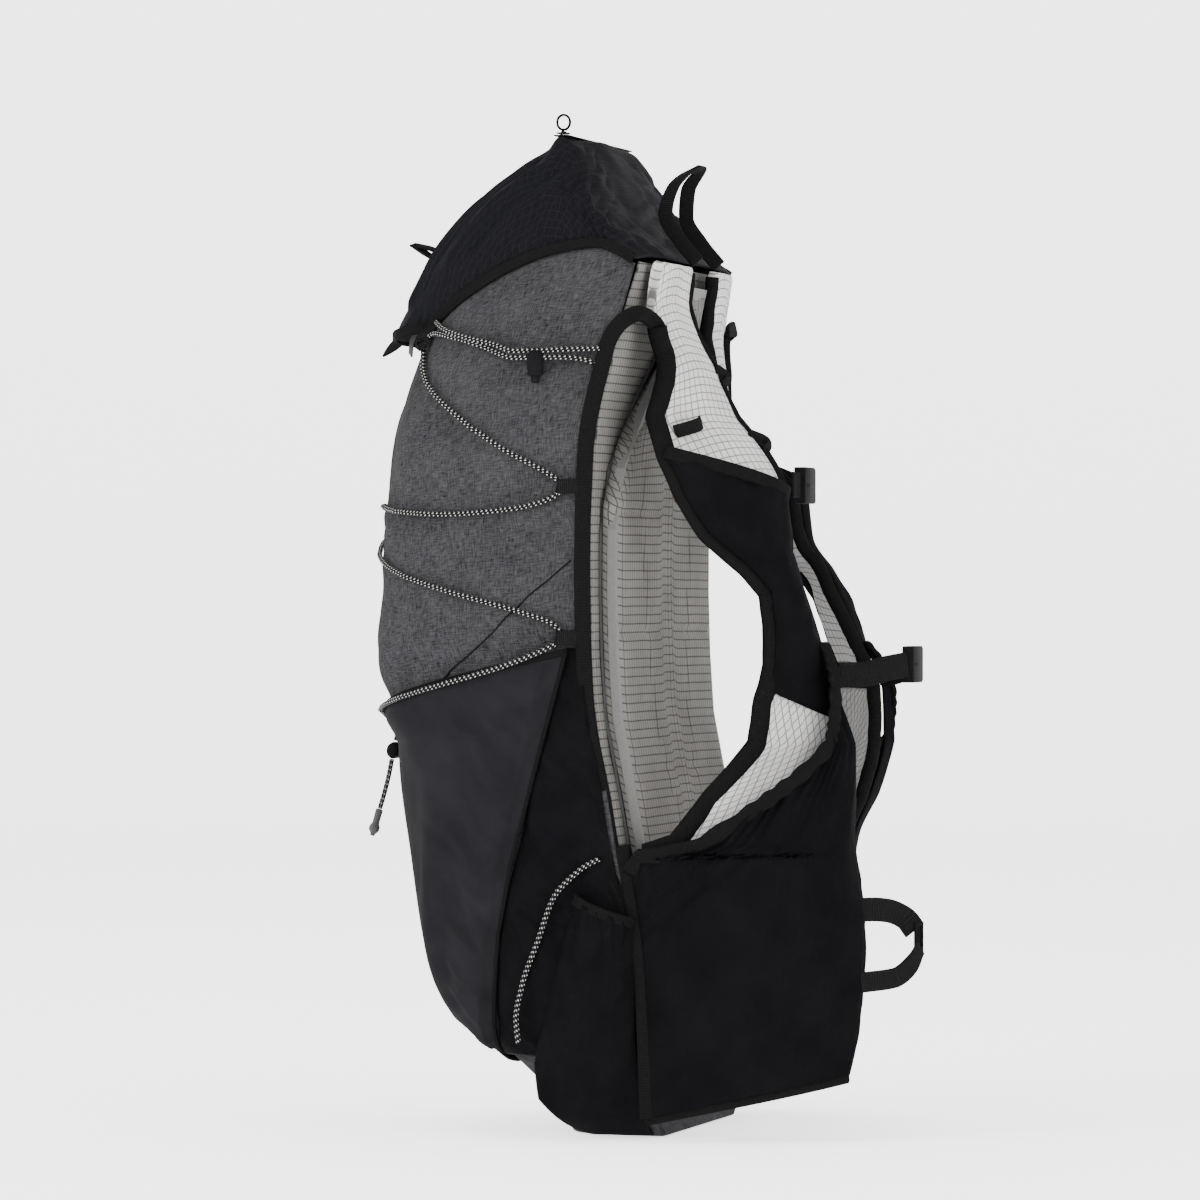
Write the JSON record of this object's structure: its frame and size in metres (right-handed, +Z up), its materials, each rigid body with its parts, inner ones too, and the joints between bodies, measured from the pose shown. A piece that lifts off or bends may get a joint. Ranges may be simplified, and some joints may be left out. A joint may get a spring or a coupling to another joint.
{
  "type": "ski backpack",
  "caption": "Compact ski touring backpack with a laced grey body, a black hooded lid, stretch pockets and a vest harness with side wings.",
  "frame": {"origin": "on the middle of the flat base the pack stands on", "axes": "+X towards the wearer, +Y to the wearer's left, +Z up"},
  "size_m": [0.3531, 0.3004, 0.601],
  "materials": {
    "pack_heather": "grey mélange plain weave",
    "black_nylon": "black ripstop nylon",
    "stretch_fabric": "charcoal four-way stretch knit",
    "spacer_mesh": "pale grid mesh over thin foam",
    "black_webbing": "black woven webbing and cord",
    "black_plastic": "moulded acetal",
    "back_foam": "closed-cell foam",
    "frame_plastic": "polyethylene sheet",
    "aluminium": "satin"
  },
  "bodies": {
    "bag": {"front_panel": "pack_heather", "base_panel": "pack_heather", "rear_wall": "black_nylon", "framesheet": "frame_plastic", "frame_stay": "aluminium", "back_foam": "back_foam", "back_mesh": "spacer_mesh", "collar": "black_nylon", "front_stretch_pocket": "stretch_fabric", "lace_anchor_front": "black_webbing", "lace_tail": "black_webbing", "lace_tail_knot": "black_webbing", "upper_buckle_socket": "black_plastic", "lower_buckle_socket": "black_plastic", "lace_tab_middle_right": "black_webbing", "lace_tab_lower_right": "black_webbing", "side_panel_right": "pack_heather", "bottle_pocket_right": "stretch_fabric", "lace_right": "black_webbing", "ski_cord_right": "black_webbing", "shoulder_strap_right": "spacer_mesh", "side_wing_right": "spacer_mesh", "strap_pocket_right": "stretch_fabric", "wing_pocket_right": "stretch_fabric", "waist_strap_right": "black_webbing", "waist_webbing_right": "black_webbing", "upper_sternum_webbing_right": "black_webbing", "lower_sternum_webbing_right": "black_webbing", "lace_tab_middle_left": "black_webbing", "lace_tab_lower_left": "black_webbing", "side_panel_left": "pack_heather", "bottle_pocket_left": "stretch_fabric", "lace_left": "black_webbing", "ski_cord_left": "black_webbing", "shoulder_strap_left": "spacer_mesh", "side_wing_left": "spacer_mesh", "strap_pocket_left": "stretch_fabric", "wing_pocket_left": "stretch_fabric", "waist_strap_left": "black_webbing", "waist_webbing_left": "black_webbing", "upper_sternum_webbing_left": "black_webbing", "lower_sternum_webbing_left": "black_webbing"},
    "lid": {"lid_top": "black_nylon", "lid_floor": "black_nylon", "lid_zip": "black_webbing", "lid_strap": "black_webbing"},
    "lid_hook": {"lid_hook": "black_plastic"},
    "haul_loop": {"haul_loop": "black_webbing"},
    "zip_slider": {"lid_zip_slider": "black_plastic"},
    "zip_pull": {"lid_zip_pull": "black_webbing"},
    "upper_tongue": {"upper_buckle_tongue": "black_plastic"},
    "lower_tongue": {"lower_buckle_tongue": "black_plastic"},
    "lock_right": {"cord_lock_right": "black_plastic"},
    "lock_right_button": {"cord_lock_right_button": "black_plastic"},
    "lock_left": {"cord_lock_left": "black_plastic"},
    "lock_left_button": {"cord_lock_left_button": "black_plastic"},
    "lock_front": {"cord_lock_front": "black_plastic"},
    "lock_front_button": {"cord_lock_front_button": "black_plastic"},
    "ladder_right": {"ladder_lock_right": "black_plastic"},
    "ladder_left": {"ladder_lock_left": "black_plastic"}
  },
  "joints": [
    {"name": "lid_flip", "type": "hinge", "parent": "bag", "child": "lid", "pos_m": [0.06, 0, 0.514], "axis": [0, 1, 0], "range_deg": [0, 100]},
    {"name": "haul_fold", "type": "hinge", "parent": "bag", "child": "haul_loop", "pos_m": [0.067, 0, 0.5146], "axis": [0, 1, 0], "range_deg": [0, 91]},
    {"name": "hook_swing", "type": "hinge", "parent": "lid", "child": "lid_hook", "pos_m": [-0.106, 0, 0.4577], "axis": [0, 1, 0], "range_deg": [0, 45]},
    {"name": "zip_slide", "type": "slide", "parent": "lid", "child": "zip_slider", "axis": [0, 1, 0], "range_m": [0, 0.136]},
    {"name": "zip_pull_swing", "type": "hinge", "parent": "zip_slider", "child": "zip_pull", "pos_m": [-0.004, -0.068, 0.5916], "axis": [1, 0, 0], "range_deg": [-70, 70]},
    {"name": "upper_buckle_release", "type": "slide", "parent": "bag", "child": "upper_tongue", "axis": [0, 1, 0], "range_m": [0, 0.022]},
    {"name": "lower_buckle_release", "type": "slide", "parent": "bag", "child": "lower_tongue", "axis": [0, 1, 0], "range_m": [0, 0.022]},
    {"name": "lock_right_slide", "type": "slide", "parent": "bag", "child": "lock_right", "axis": [0.9982, -0.0594, 0], "range_m": [-0.006, 0.006]},
    {"name": "lock_right_press", "type": "slide", "parent": "lock_right", "child": "lock_right_button", "axis": [0, 0, 1], "range_m": [0, 0.003], "stiffness_N_per_m": 300},
    {"name": "lock_left_slide", "type": "slide", "parent": "bag", "child": "lock_left", "axis": [-0.9982, -0.0594, 0], "range_m": [-0.006, 0.006]},
    {"name": "lock_left_press", "type": "slide", "parent": "lock_left", "child": "lock_left_button", "axis": [0, 0, 1], "range_m": [0, 0.003], "stiffness_N_per_m": 300},
    {"name": "lock_front_slide", "type": "slide", "parent": "bag", "child": "lock_front", "axis": [-0.1961, -0.0196, -0.9804], "range_m": [0, 0.006]},
    {"name": "lock_front_press", "type": "slide", "parent": "lock_front", "child": "lock_front_button", "axis": [0, -0.9998, 0.02], "range_m": [0, 0.003], "stiffness_N_per_m": 300},
    {"name": "ladder_right_tilt", "type": "hinge", "parent": "bag", "child": "ladder_right", "pos_m": [0.20571, -0.05686, 0.116], "axis": [0, 0, 1], "range_deg": [-10, 25]},
    {"name": "ladder_left_tilt", "type": "hinge", "parent": "bag", "child": "ladder_left", "pos_m": [0.14718, 0.05705, 0.116], "axis": [0, 0, 1], "range_deg": [-25, 10]}
  ],
  "couplings": [
    {"joint": "haul_fold", "follows": "lid_flip", "ratio": 0.909}
  ]
}
